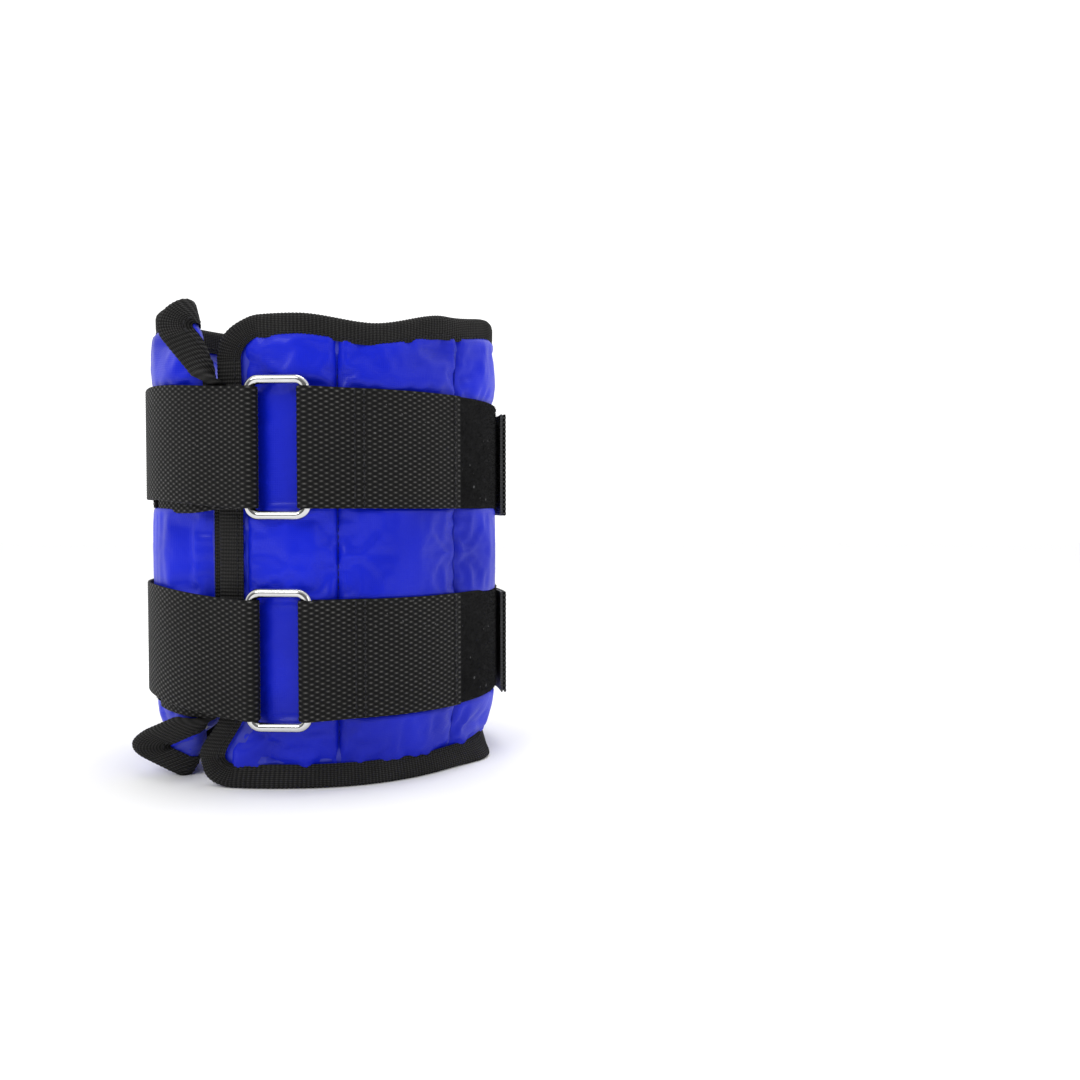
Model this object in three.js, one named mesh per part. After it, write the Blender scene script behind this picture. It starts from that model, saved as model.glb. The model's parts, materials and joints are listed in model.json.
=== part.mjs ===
// Ankle cuff weight: a channelled fabric band filled with sealed bags of iron shot, closed by two
// webbing straps that each run through a steel ring and fold back onto a strip of loop tape.
// Millimetres, +Z up. The cuff stands on its lower binding, and the rings face -Y.
// An angle round the cuff is in degrees from -Y towards +X. A radius is from the cuff's axis.
import * as THREE from 'three';

// Band
const cuffHeight = 197;
const seamRadius = 77;           // outer face of the cover where it is sewn down
const coverBulge = 2;            // how far the cover swells out between two seams
const lobeDepth = 20;            // how far the lining swells in between two seams
const clothThickness = 0.9;
const layerGap = 0.3;            // clearance between two layers that touch
const innerSeamAngles = [14, 57, 100, 143, 186, 229, 272];
const rightEdgeAngle = -23;      // bound edge of the right panel
const leftEdgeAngle = 334.5;     // bound edge of the left panel, which meets the right one
const seamMargin = 3;            // flat cloth between the binding and the nearest seam
const swellHeight = 16;          // height over which the band swells to its full thickness
const swellShape = 0.6;          // below 1 the channels are fuller than a sine
const bagGap = 0.5;

// Binding tape folded over every edge
const bindingThickness = 0.9;
const bindingWidth = 10;         // visible width on each face
const bindingGap = 0.5;          // between the tape and the cloth inside it
const topCornerEase = 14;        // radius of a top corner where the tape's inner edge turns
const bottomCornerEase = 3;      // the same at the bottom

// Straps
const webbingWidth = 50;
const webbingThickness = 1.4;
const loopTapeThickness = 1.8;
const hookTapeThickness = 1.2;
const lowerStrapHeight = 55.5;   // middle of the lower strap, from the bottom edge
const upperStrapDrop = 54;       // middle of the upper strap, from the top edge
const loopTapeStart = 46;
const loopTapeEnd = 300;
const buttGap = 2;               // between two strips that are sewn down end to end
const anchorEnd = 57;            // cut end of the webbing that holds the ring
const anchorDescent = 12;        // angle over which that webbing comes down onto the band
const tailDescent = 19.5;        // angle over which the folded tail comes down again
const firstBendLead = 12;        // angle from there to the next hinge line
const bendSpacing = 34;          // angle between two hinge lines
const bendCount = 7;
const flapLength = 32;           // straight free end of the tail
const foldLead = 3;              // webbing that leaves the ring before the tail's first hinge line

// Ring
const wireDiameter = 4;
const ringWidth = 24;            // between the centre lines of its two upright bars
const ringClearance = 0.8;       // above and below the webbing
const cornerBite = 1;            // how far the webbing's edge reaches into the ring's corner
const ringAngle = -3.1;
const barPlay = 0.6;             // between the wire and the webbing round it

const arcStep = 6;               // most that one flat of an arc turns
const cornerFlats = 4;           // flats round each corner of the ring
const tiny = 1e-6;               // angle within which two columns are the same one

const colours = {
  nylon: { color: 0x0a20c8, roughness: 0.35, metalness: 0 },
  lining: { color: 0x0a1ea8, roughness: 0.5, metalness: 0 },
  webbing: { color: 0x141414, roughness: 0.7, metalness: 0 },
  pile: { color: 0x0c0c0c, roughness: 0.95, metalness: 0 },
  tape: { color: 0x1a1a1a, roughness: 0.8, metalness: 0 },
  bag: { color: 0x55585c, roughness: 0.6, metalness: 0 },
  steel: { color: 0xd6d8dc, roughness: 0.15, metalness: 1 },
};

const flangeHeight = bindingWidth + seamMargin;
const topCornerRadius = bindingWidth + topCornerEase;
const bottomCornerRadius = bindingWidth + bottomCornerEase;
const strapHeights = { lower: lowerStrapHeight, upper: cuffHeight - upperStrapDrop };

const cuff = new THREE.Group();

function add(name, geometry, colour) {
  const mesh = new THREE.Mesh(geometry, new THREE.MeshStandardMaterial(colours[colour]));
  mesh.name = name;
  cuff.add(mesh);
  return mesh;
}

function polar(radius, degrees) {
  const angle = THREE.MathUtils.degToRad(degrees);
  return new THREE.Vector2(radius * Math.sin(angle), -radius * Math.cos(angle));
}

function arcLength(degrees, radius) {
  return THREE.MathUtils.degToRad(degrees) * radius;
}

function arcDegrees(length, radius) {
  return THREE.MathUtils.radToDeg(length / radius);
}

function steps(from, to, count) {
  return Array.from({ length: count + 1 }, (_, i) => from + ((to - from) * i) / count);
}

// A closed sheet: columns run round the cuff, rows run up it, and side 1 is its outer face.
function sheet(columnCount, rowCount, place) {
  const geometry = new THREE.BoxGeometry(1, 1, 1, columnCount, rowCount, 1);
  const position = geometry.attributes.position;
  for (let i = 0; i < position.count; i += 1) {
    const column = Math.round((position.getX(i) + 0.5) * columnCount);
    const row = Math.round((position.getY(i) + 0.5) * rowCount);
    const side = position.getZ(i) > 0 ? 1 : 0;
    const point = place(column, row, side);
    position.setXYZ(i, point.x, point.y, point.z);
  }
  alignDiagonals(geometry);
  geometry.computeVertexNormals();
  return geometry;
}

// Turns the diagonals of a box's back face, so that they lie over its front face's. Two sheets
// with the same columns and rows then keep the same gap all over.
function alignDiagonals(box) {
  const back = box.groups[5];
  for (let i = back.start; i < back.start + back.count; i += 6) {
    const [a, b, , , c, d] = box.index.array.slice(i, i + 6);
    box.index.array.set([a, b, c, a, c, d], i);
  }
}

function onCuff(radius, degrees, z) {
  const plan = polar(radius, degrees);
  return new THREE.Vector3(plan.x, plan.y, z);
}

// ---- The band's swelling ----

const seamAngles = [
  rightEdgeAngle + arcDegrees(flangeHeight, seamRadius),
  ...innerSeamAngles,
  leftEdgeAngle - arcDegrees(flangeHeight, seamRadius),
];

// 0 on a seam and beyond the end seams, 1 in the middle of a channel.
function channelSwell(degrees) {
  const next = seamAngles.findIndex((seam) => seam > degrees + tiny);
  if (next < 1) {
    return 0;
  }
  const share = (degrees - seamAngles[next - 1]) / (seamAngles[next] - seamAngles[next - 1]);
  return Math.sin(Math.PI * share) ** swellShape;
}

function distanceFromEnd(degrees) {
  const nearest = Math.min(degrees - rightEdgeAngle, leftEdgeAngle - degrees);
  return arcLength(nearest, seamRadius);
}

// How far a point of the band is from its bound edge, whose corners are rounded.
function distanceFromEdge(degrees, z) {
  const along = distanceFromEnd(degrees);
  const up = Math.min(z, cuffHeight - z);
  const corner = z > cuffHeight / 2 ? topCornerRadius : bottomCornerRadius;
  if (along < corner && up < corner) {
    return corner - Math.hypot(corner - along, corner - up);
  }
  return Math.min(along, up);
}

function swell(degrees, z) {
  const flat = distanceFromEdge(degrees, z) - flangeHeight;
  return channelSwell(degrees) * THREE.MathUtils.smoothstep(flat, 0, swellHeight);
}

function coverOuter(degrees, z) {
  return seamRadius + coverBulge * swell(degrees, z);
}

function coverInner(degrees, z) {
  return coverOuter(degrees, z) - clothThickness;
}

function liningOuter(degrees, z) {
  return seamRadius - clothThickness - layerGap - lobeDepth * swell(degrees, z);
}

function liningInner(degrees, z) {
  return liningOuter(degrees, z) - clothThickness;
}

// ---- The panel's outline: a long rectangle with rounded corners, inset from the bound edge ----

const cornerSteps = 3;
const leastColumn = 1;           // least angle between two columns of the cloth

// Distance that a corner takes off the height, at a distance along from the panel's end.
function cornerDrop(along, radius) {
  if (along >= radius) {
    return 0;
  }
  return radius - Math.sqrt(radius ** 2 - (radius - along) ** 2);
}

// Angles at which the cloth is sampled: every channel angle, and the corners' own between them.
function clothAngles(inset, cornerRadius) {
  const channels = channelAngles();
  const spans = steps(0, 90, cornerSteps).map((turn) => {
    const along = (cornerRadius - inset) * (1 - Math.cos(THREE.MathUtils.degToRad(turn)));
    return arcDegrees(inset + along, seamRadius);
  });
  const corners = spans.flatMap((span) => [rightEdgeAngle + span, leftEdgeAngle - span]);
  const apart = corners.filter((angle) => channels.every((other) => Math.abs(other - angle) > leastColumn));
  return [...channels, ...apart].sort((one, other) => one - other);
}

function topEdge(degrees, inset) {
  const along = distanceFromEnd(degrees) - inset;
  return cuffHeight - inset - cornerDrop(Math.max(along, 0), topCornerRadius - inset);
}

function bottomEdge(degrees, inset) {
  const along = distanceFromEnd(degrees) - inset;
  return inset + cornerDrop(Math.max(along, 0), bottomCornerRadius - inset);
}

const channelShares = [0, 0.1, 0.3, 0.5, 0.7, 0.9];

function channelAngles() {
  const angles = [];
  for (let i = 0; i < seamAngles.length - 1; i += 1) {
    const width = seamAngles[i + 1] - seamAngles[i];
    angles.push(...channelShares.map((share) => seamAngles[i] + share * width));
  }
  angles.push(seamAngles.at(-1));
  return angles;
}

// Shares of the swell's height at which the sheet has a row.
const swellRows = [0, 1 / 3, 1];

// Heights of the sheet's rows away from its top and bottom edges.
function rowHeights() {
  const lower = swellRows.map((share) => flangeHeight + share * swellHeight);
  const upper = lower.map((z) => cuffHeight - z).reverse();
  return [...lower, cuffHeight / 2, ...upper];
}

// ---- Soft band: cover, lining and bags ----

const clothInset = bindingThickness + bindingGap;
const leastRow = 1;              // least height of a row where a corner squeezes the rows

function bandSheet(outerFace, innerFace) {
  const angles = clothAngles(clothInset, topCornerRadius);
  const rows = rowHeights();
  return sheet(angles.length - 1, rows.length + 1, (column, row, side) => {
    const degrees = angles[column];
    const low = bottomEdge(degrees, clothInset);
    const high = topEdge(degrees, clothInset);
    const free = [low, ...rows, high][row];
    const z = Math.max(low + row * leastRow, Math.min(free, high - (rows.length + 1 - row) * leastRow));
    const face = side === 1 ? outerFace : innerFace;
    return onCuff(face(degrees, z), degrees, z);
  });
}

add('cover_outer', bandSheet(coverOuter, coverInner), 'nylon');
add('lining_inner', bandSheet(liningOuter, liningInner), 'lining');

// A bag fills its channel as far as the cloth's second and last but one columns there.
function weightBag(from, to) {
  const margin = channelShares[1] * (to - from) - tiny;
  const angles = clothAngles(clothInset, topCornerRadius)
    .filter((angle) => angle > from + margin && angle < to - margin);
  const rows = rowHeights().slice(1, -1);
  return sheet(angles.length - 1, rows.length - 1, (column, row, side) => {
    const degrees = angles[column];
    const z = rows[row];
    const radius = side === 1
      ? coverInner(degrees, z) - bagGap
      : liningOuter(degrees, z) + bagGap;
    return onCuff(radius, degrees, z);
  });
}

for (let i = 0; i < seamAngles.length - 1; i += 1) {
  add(`weight_bag_${i + 1}`, weightBag(seamAngles[i], seamAngles[i + 1]), 'bag');
}

// ---- Binding tape: a strip folded over the edge ----

// The strip's section, as [side of the cloth, depth in from the bound edge] for its outer and
// inner skins.
const clothStack = 2 * clothThickness + layerGap;
const foldedOuter = seamRadius + bindingGap;
const foldedInner = seamRadius - clothStack - bindingGap;
const tapeSection = [
  { outer: [foldedOuter + bindingThickness, bindingWidth], inner: [foldedOuter, bindingWidth] },
  { outer: [foldedOuter + bindingThickness, 0], inner: [foldedOuter, bindingThickness] },
  { outer: [foldedInner - bindingThickness, 0], inner: [foldedInner, bindingThickness] },
  { outer: [foldedInner - bindingThickness, bindingWidth], inner: [foldedInner, bindingWidth] },
];

// edgePoint gives the angle and height of station i at a depth in from the bound edge.
function foldedTape(stationCount, edgePoint) {
  return sheet(stationCount, tapeSection.length - 1, (column, row, side) => {
    const [radius, depth] = side === 1 ? tapeSection[row].outer : tapeSection[row].inner;
    const { degrees, z } = edgePoint(column, depth);
    return onCuff(radius, degrees, z);
  });
}

// A rounded corner's station: turn is 0 on the upright edge and 90 on the level edge.
function cornerPoint(turn, depth, cornerRadius, atRight, atTop) {
  const angle = THREE.MathUtils.degToRad(turn);
  const radius = cornerRadius - depth;
  const along = cornerRadius - radius * Math.cos(angle);
  const drop = cornerRadius - radius * Math.sin(angle);
  const span = arcDegrees(along, seamRadius);
  return {
    degrees: atRight ? rightEdgeAngle + span : leftEdgeAngle - span,
    z: atTop ? cuffHeight - drop : drop,
  };
}

const levelSpacing = 8;

// One run of tape along the top or the bottom, round both of its corners.
function levelBinding(cornerRadius, atTop) {
  const turns = steps(0, 90, 2 * cornerSteps);
  const corner = arcDegrees(cornerRadius, seamRadius);
  const from = rightEdgeAngle + corner;
  const to = leftEdgeAngle - corner;
  const middle = steps(from, to, Math.round((to - from) / levelSpacing)).slice(1, -1);
  const stations = [
    ...turns.map((turn) => (depth) => cornerPoint(turn, depth, cornerRadius, true, atTop)),
    ...middle.map((degrees) => (depth) => ({ degrees, z: atTop ? cuffHeight - depth : depth })),
    ...[...turns].reverse()
      .map((turn) => (depth) => cornerPoint(turn, depth, cornerRadius, false, atTop)),
  ];
  // The section's rows start on the outer face, so the stations run the other way at the bottom.
  const ordered = atTop ? stations : stations.reverse();
  return foldedTape(ordered.length - 1, (column, depth) => ordered[column](depth));
}

function uprightBinding(atRight) {
  const low = bottomCornerRadius + layerGap;
  const high = cuffHeight - topCornerRadius - layerGap;
  const heights = atRight ? [low, high] : [high, low];
  return foldedTape(1, (column, depth) => {
    const span = arcDegrees(depth, seamRadius);
    return {
      degrees: atRight ? rightEdgeAngle + span : leftEdgeAngle - span,
      z: heights[column],
    };
  });
}

add('binding_top', levelBinding(topCornerRadius, true), 'tape');
add('binding_bottom', levelBinding(bottomCornerRadius, false), 'tape');
add('binding_right_edge', uprightBinding(true), 'tape');
add('binding_left_edge', uprightBinding(false), 'tape');

// ---- Straps: ribbons that stand on edge, drawn in plan and extruded up ----

function sideOf(from, to) {
  const along = to.clone().sub(from).normalize();
  return new THREE.Vector2(along.y, -along.x);
}

// Offsets a line in plan to its right-hand side, with mitred bends.
function offsetLine(points, distance) {
  return points.map((point, i) => {
    const before = sideOf(points[Math.max(i - 1, 0)], points[Math.max(i, 1)]);
    const last = points.length - 1;
    const after = sideOf(points[Math.min(i, last - 1)], points[Math.min(i + 1, last)]);
    const mitre = before.clone().add(after);
    return point.clone().addScaledVector(mitre, distance / (0.5 * mitre.lengthSq()));
  });
}

function ribbon(points, thickness, width, middleHeight) {
  const outline = [
    ...offsetLine(points, thickness / 2),
    ...offsetLine(points, -thickness / 2).reverse(),
  ];
  const geometry = new THREE.ExtrudeGeometry(new THREE.Shape(outline), {
    depth: width,
    bevelEnabled: false,
  });
  geometry.translate(0, 0, middleHeight - width / 2);
  return geometry;
}

function around(radius, from, to) {
  const count = Math.max(1, Math.round(Math.abs(to - from) / arcStep));
  return steps(from, to, count).map((degrees) => polar(radius, degrees));
}

function planAngle(vector) {
  return THREE.MathUtils.radToDeg(Math.atan2(vector.y, vector.x));
}

function planPoint(centre, radius, degrees) {
  const angle = THREE.MathUtils.degToRad(degrees);
  return centre.clone().addScaledVector(new THREE.Vector2(Math.cos(angle), Math.sin(angle)), radius);
}

// Trims a line in plan by a length at its start and at its end.
function trimmed(points, atStart, atEnd) {
  const line = points.map((point) => point.clone());
  const startWay = line[1].clone().sub(line[0]).normalize();
  line[0].addScaledVector(startWay, atStart);
  const endWay = line.at(-2).clone().sub(line.at(-1)).normalize();
  line.at(-1).addScaledVector(endWay, atEnd);
  return line;
}

// Radii of the layers' middles, counted outwards from the band.
const bandRadius = seamRadius + coverBulge + layerGap;
const underLayer = bandRadius + webbingThickness / 2;
const loopTapeMiddle = bandRadius + loopTapeThickness / 2;
const loopTapeOuter = bandRadius + loopTapeThickness;
const anchorLayer = loopTapeOuter + layerGap + webbingThickness / 2;
const hookLayer = loopTapeOuter + layerGap + hookTapeThickness / 2;
const tailLayer = hookLayer + (hookTapeThickness + webbingThickness) / 2 + layerGap;

const wrapRadius = wireDiameter / 2 + barPlay + webbingThickness / 2;
const barRadius = underLayer + wrapRadius;
const ringHalfAngle = THREE.MathUtils.radToDeg(Math.asin(ringWidth / 2 / barRadius));
const rightBar = polar(barRadius, ringAngle + ringHalfAngle);
const leftBar = polar(barRadius, ringAngle - ringHalfAngle);
const wrapStep = 22.5;
const wireSides = 12;

// The half turn round a bar, from its body side through the ring's window to where the webbing
// leaves for a point beyond. turn is 1 on the right bar and -1 on the left bar.
function wrapRound(bar, target, turn) {
  const bodySide = planAngle(bar.clone().negate());
  const away = target.clone().sub(bar);
  const lift = THREE.MathUtils.radToDeg(Math.acos(wrapRadius / away.length()));
  const leave = planAngle(away) - turn * lift;
  const span = THREE.MathUtils.euclideanModulo(turn * (leave - bodySide), 360);
  const count = Math.round(span / wrapStep);
  return steps(bodySide, bodySide + turn * span, count)
    .map((degrees) => planPoint(bar, wrapRadius, degrees));
}

function ringAnchor(height) {
  const landing = ringAngle + ringHalfAngle + anchorDescent;
  const underEnd = loopTapeStart - arcDegrees(buttGap, bandRadius);
  const line = [
    ...around(underLayer, underEnd, ringAngle + ringHalfAngle).slice(0, -1),
    ...wrapRound(rightBar, polar(anchorLayer, landing), 1),
    ...around(anchorLayer, landing, anchorEnd),
  ];
  return ribbon(line, webbingThickness, webbingWidth, height);
}

const tailLanding = ringAngle - ringHalfAngle - tailDescent;
const tailLandingPoint = polar(tailLayer, tailLanding);
const leftWrap = wrapRound(leftBar, tailLandingPoint, -1);
const leavingWay = tailLandingPoint.clone().sub(leftWrap.at(-1)).normalize();
const firstHingeMiddle = leftWrap.at(-1).clone().addScaledVector(leavingWay, foldLead);

function tailBase(height) {
  const sewnEnd = loopTapeEnd - 360 + arcDegrees(buttGap, bandRadius);
  const line = around(underLayer, sewnEnd, ringAngle - ringHalfAngle);
  return ribbon(trimmed(line, 0, layerGap), webbingThickness, webbingWidth, height);
}

function tailFold(height) {
  const line = trimmed([...leftWrap, firstHingeMiddle], 0, layerGap / 2);
  return ribbon(line, webbingThickness, webbingWidth, height);
}

// The tail's hinge lines beyond the first, as angles round the cuff.
const bends = Array.from({ length: bendCount }, (_, i) => tailLanding - firstBendLead - i * bendSpacing);
const flapWay = polar(1, bends.at(-1) - 90);

// The line of one of the tail's segments, or of what is sewn onto it in another layer.
function tailLine(index, layer) {
  if (index === 0) {
    return trimmed([firstHingeMiddle, ...around(layer, tailLanding, bends[0])], layerGap / 2, layerGap / 2);
  }
  if (index < bends.length) {
    return trimmed(around(layer, bends[index - 1], bends[index]), layerGap / 2, layerGap / 2);
  }
  const root = polar(layer, bends.at(-1));
  return trimmed([root, root.clone().addScaledVector(flapWay, flapLength)], layerGap / 2, 0);
}

const ringCornerRadius = wireDiameter / 2 + ringClearance + cornerBite;

// A torus whose four quarters are moved apart into a rounded rectangle of wire.
function ring(height) {
  const halfHeight = webbingWidth / 2 + ringClearance + wireDiameter / 2;
  const spread = new THREE.Vector2(ringWidth / 2 - ringCornerRadius, halfHeight - ringCornerRadius);
  const stations = 4 * (cornerFlats + 1);
  const geometry = new THREE.TorusGeometry(ringCornerRadius, wireDiameter / 2, wireSides, stations);
  const position = geometry.attributes.position;
  for (let i = 0; i < position.count; i += 1) {
    const station = (i % (stations + 1)) % stations;
    const side = Math.floor(i / (stations + 1)) * (2 * Math.PI / wireSides);
    const quarter = Math.floor(station / (cornerFlats + 1));
    const turn = (quarter + (station % (cornerFlats + 1)) / cornerFlats) * (Math.PI / 2);
    const reach = ringCornerRadius + (wireDiameter / 2) * Math.cos(side);
    const across = quarter === 0 || quarter === 3 ? 1 : -1;
    const up = quarter < 2 ? 1 : -1;
    position.setXYZ(
      i,
      reach * Math.cos(turn) + across * spread.x,
      reach * Math.sin(turn) + up * spread.y,
      (wireDiameter / 2) * Math.sin(side),
    );
  }
  geometry.computeVertexNormals();
  const facing = barRadius * Math.cos(THREE.MathUtils.degToRad(ringHalfAngle));
  geometry.translate(0, 0, facing);
  geometry.rotateX(Math.PI / 2);
  geometry.rotateZ(THREE.MathUtils.degToRad(ringAngle));
  geometry.translate(0, 0, height);
  return geometry;
}

function addStrap(prefix, height) {
  add(`${prefix}_ring`, ring(height), 'steel');
  add(`${prefix}_ring_anchor`, ringAnchor(height), 'webbing');
  const loopLine = around(loopTapeMiddle, loopTapeStart, loopTapeEnd);
  add(`${prefix}_loop_tape`, ribbon(loopLine, loopTapeThickness, webbingWidth, height), 'pile');
  add(`${prefix}_tail_base`, tailBase(height), 'webbing');
  add(`${prefix}_tail_fold`, tailFold(height), 'webbing');
  for (let i = 0; i <= bends.length; i += 1) {
    const segment = ribbon(tailLine(i, tailLayer), webbingThickness, webbingWidth, height);
    add(`${prefix}_tail_${i + 1}`, segment, 'webbing');
  }
  for (let i = bends.length - 1; i <= bends.length; i += 1) {
    const hook = ribbon(tailLine(i, hookLayer), hookTapeThickness, webbingWidth, height);
    add(`${prefix}_hook_tape_${i + 2 - bends.length}`, hook, 'pile');
  }
}

addStrap('upper', strapHeights.upper);
addStrap('lower', strapHeights.lower);

// ---- Placing: the middle of the whole model's plan is at X = Y = 0 ----

const outerBox = new THREE.Box3().setFromObject(cuff);
const middle = outerBox.getCenter(new THREE.Vector3());
cuff.position.set(-middle.x, -middle.y, 0);

// Upright hinge lines in the placed model's plan: the ring turns about its right bar, and each
// tail segment about the outer face of the webbing before it.
const outerFace = webbingThickness / 2;
const firstHinge = firstHingeMiddle.clone()
  .addScaledVector(new THREE.Vector2(-leavingWay.y, leavingWay.x).negate(), -outerFace);
cuff.userData.hingeLines = [rightBar, firstHinge, ...bends.map((bend) => polar(tailLayer + outerFace, bend))]
  .map((point) => point.clone().sub(new THREE.Vector2(middle.x, middle.y)));

export default cuff;
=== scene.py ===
import json
import math

import bpy
import numpy as np
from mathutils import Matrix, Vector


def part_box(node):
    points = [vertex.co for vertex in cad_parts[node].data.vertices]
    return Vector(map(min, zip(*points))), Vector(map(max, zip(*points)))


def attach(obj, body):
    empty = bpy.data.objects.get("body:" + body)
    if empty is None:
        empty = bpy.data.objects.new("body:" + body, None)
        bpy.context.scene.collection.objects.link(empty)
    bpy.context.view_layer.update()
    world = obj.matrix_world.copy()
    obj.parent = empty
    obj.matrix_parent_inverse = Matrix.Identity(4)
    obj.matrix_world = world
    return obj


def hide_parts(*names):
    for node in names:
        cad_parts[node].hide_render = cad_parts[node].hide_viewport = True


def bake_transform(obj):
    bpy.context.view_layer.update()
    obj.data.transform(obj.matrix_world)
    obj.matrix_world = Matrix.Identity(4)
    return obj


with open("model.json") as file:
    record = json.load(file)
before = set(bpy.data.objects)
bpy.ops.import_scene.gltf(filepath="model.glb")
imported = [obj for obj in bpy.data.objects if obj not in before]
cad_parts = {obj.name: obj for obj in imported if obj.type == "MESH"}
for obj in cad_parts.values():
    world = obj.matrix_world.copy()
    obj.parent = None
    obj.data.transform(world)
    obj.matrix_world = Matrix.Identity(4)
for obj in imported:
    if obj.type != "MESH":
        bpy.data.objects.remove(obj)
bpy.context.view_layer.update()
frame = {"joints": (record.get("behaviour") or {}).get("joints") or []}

# Lengths below are millimetres and angles are degrees, until a mesh or a node is made in metres.
# An angle round the cuff starts at the front, -Y, and grows towards +X. The axis is the middle of
# the bottom binding.
mm = 0.001
axis = (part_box("binding_bottom")[0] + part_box("binding_bottom")[1]) / (2 * mm)
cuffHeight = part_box("binding_top")[1].z / mm
sides = ("upper", "lower")


def smooth(x):
    x = np.clip(x, 0, 1)
    return x * x * (3 - 2 * x)


def past(value, ends):  # from 0 at the first of two ends to 1 at the second
    return smooth((value - ends[0]) / (ends[1] - ends[0]))


def easedThrough(angles, knots):  # through the knots' values, level at each knot
    at, values = np.array(knots, float).T
    after = np.clip(np.searchsorted(at, angles), 1, len(at) - 1)
    share = smooth((angles - at[after - 1]) / (at[after] - at[after - 1]))
    return values[after - 1] + share * (values[after] - values[after - 1])


def ripple(where, lengths, seed):  # a sum of waves of these lengths, between about -1 and 1
    draw = np.random.default_rng(seed)
    waves = [np.sin(2 * np.pi * (where / length + draw.random())) for length in lengths]
    return sum(waves) / len(lengths)


def toPlan(angle, radius):
    turn = np.radians(angle)
    return np.stack([axis.x + radius * np.sin(turn), axis.y - radius * np.cos(turn)], -1)


def angleAndRadius(point):
    dx, dy = point[0] - axis.x, point[1] - axis.y
    return math.degrees(math.atan2(dx, -dy)), math.hypot(dx, dy)


def newPiece(name, points, faces, looks, uv=None):
    mesh = bpy.data.meshes.new(name)
    mesh.from_pydata((np.asarray(points) * mm).tolist(), [], np.asarray(faces).tolist())
    if uv is not None:
        corners = np.zeros(len(mesh.loops), int)
        mesh.loops.foreach_get("vertex_index", corners)
        mesh.uv_layers.new(name="cloth").data.foreach_set("uv", np.asarray(uv)[corners].ravel())
    mesh.shade_smooth()
    mesh.set_sharp_from_angle(angle=math.radians(65))
    mesh.materials.append(looks)
    piece = bpy.data.objects.new(name, mesh)
    bpy.context.scene.collection.objects.link(piece)
    return piece


def gridFaces(index):  # a face between each four neighbours of a grid of vertex numbers
    return np.stack([index[:-1, :-1], index[:-1, 1:], index[1:, 1:], index[1:, :-1]], -1).reshape(-1, 4)


def rimFaces(front, back):  # the wall between the same edge of two grids
    return np.stack([front[1:], front[:-1], back[:-1], back[1:]], -1)


def closedSheet(name, outer, inner, looks, uv):  # two skins and the rim that joins them
    index = np.arange(outer.shape[0] * outer.shape[1]).reshape(outer.shape[:2])
    back = index + index.size
    faces = np.concatenate([
        gridFaces(index), gridFaces(back)[:, ::-1],
        rimFaces(index[0], back[0]), rimFaces(index[-1][::-1], back[-1][::-1]),
        rimFaces(index[::-1, 0], back[::-1, 0]), rimFaces(index[:, -1], back[:, -1])])
    points = np.concatenate([outer.reshape(-1, 3), inner.reshape(-1, 3)])
    middle = points.mean(0)
    a, b, c = (points[faces[:, corner]] - middle for corner in range(3))
    if np.einsum("ij,ij->i", a, np.cross(b, c)).sum() < 0:
        faces = faces[:, ::-1]
    flatUv = np.asarray(uv).reshape(-1, 2)
    return newPiece(name, points, faces, looks, np.concatenate([flatUv, flatUv]))


def gridNormals(grid):
    return np.cross(np.gradient(grid, axis=1), np.gradient(grid, axis=0))


def unitRows(vectors):
    return vectors / np.maximum(np.linalg.norm(vectors, axis=-1, keepdims=True), 1e-9)


def doubled(grid):  # twice as fine each way, on smooth curves through the same points
    for way in (0, 1):
        grid = np.moveaxis(grid, way, 0)
        wide = np.concatenate([2 * grid[:1] - grid[1:2], grid, 2 * grid[-1:] - grid[-2:-1]])
        between = (9 * (wide[1:-2] + wide[2:-1]) - wide[:-3] - wide[3:]) / 16
        fine = np.empty((2 * len(grid) - 1, *grid.shape[1:]))
        fine[::2] = grid
        fine[1::2] = between
        grid = np.moveaxis(fine, 0, way)
    return grid


class Wire:  # one socket, on which Python's operators add Math nodes
    def __init__(self, graph, socket):
        self.graph = graph
        self.socket = socket

    def maths(self, operation, first, second=0.0):
        return self.graph.add("ShaderNodeMath", {"operation": operation}, {0: first, 1: second})

    def __add__(self, other):
        return self.maths("ADD", self, other)

    def __sub__(self, other):
        return self.maths("SUBTRACT", self, other)

    def __rsub__(self, other):
        return self.maths("SUBTRACT", other, self)

    def __mul__(self, other):
        return self.maths("MULTIPLY", self, other)

    def __pow__(self, other):
        return self.maths("POWER", self, other)

    __radd__ = __add__
    __rmul__ = __mul__

    def cosine(self):
        return self.maths("COSINE", self)

    def above(self, limit):
        return self.maths("GREATER_THAN", self, limit)

    def kept(self):  # held between 0 and 1
        return self.graph.add("ShaderNodeClamp", {}, {0: self})


class Graph:
    def __init__(self, tree):
        self.tree = tree

    def add(self, kind, settings=None, sockets=None, output=0):
        node = self.tree.nodes.new(kind)
        for name, setting in (settings or {}).items():
            setattr(node, name, setting)
        for key, value in (sockets or {}).items():
            if isinstance(value, Wire):
                self.tree.links.new(value.socket, node.inputs[key])
            else:
                node.inputs[key].default_value = value
        return Wire(self, node.outputs[output])

    def blended(self, share, first, second):
        node = self.tree.nodes.new("ShaderNodeMix")
        node.data_type = "RGBA"
        for key, value in ((0, share), (6, first), (7, second)):
            if isinstance(value, Wire):
                self.tree.links.new(value.socket, node.inputs[key])
            else:
                node.inputs[key].default_value = value
        return Wire(self, node.outputs[2])


def newMaterial(name, constants, varying):
    looks = bpy.data.materials.new(name)
    looks.use_nodes = True
    graph = Graph(looks.node_tree)
    shader = looks.node_tree.nodes["Principled BSDF"]
    for socket, value in constants.items():
        shader.inputs[socket].default_value = value
    for socket, wire in varying(graph).items():
        looks.node_tree.links.new(wire.socket, shader.inputs[socket])
    return looks


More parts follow.
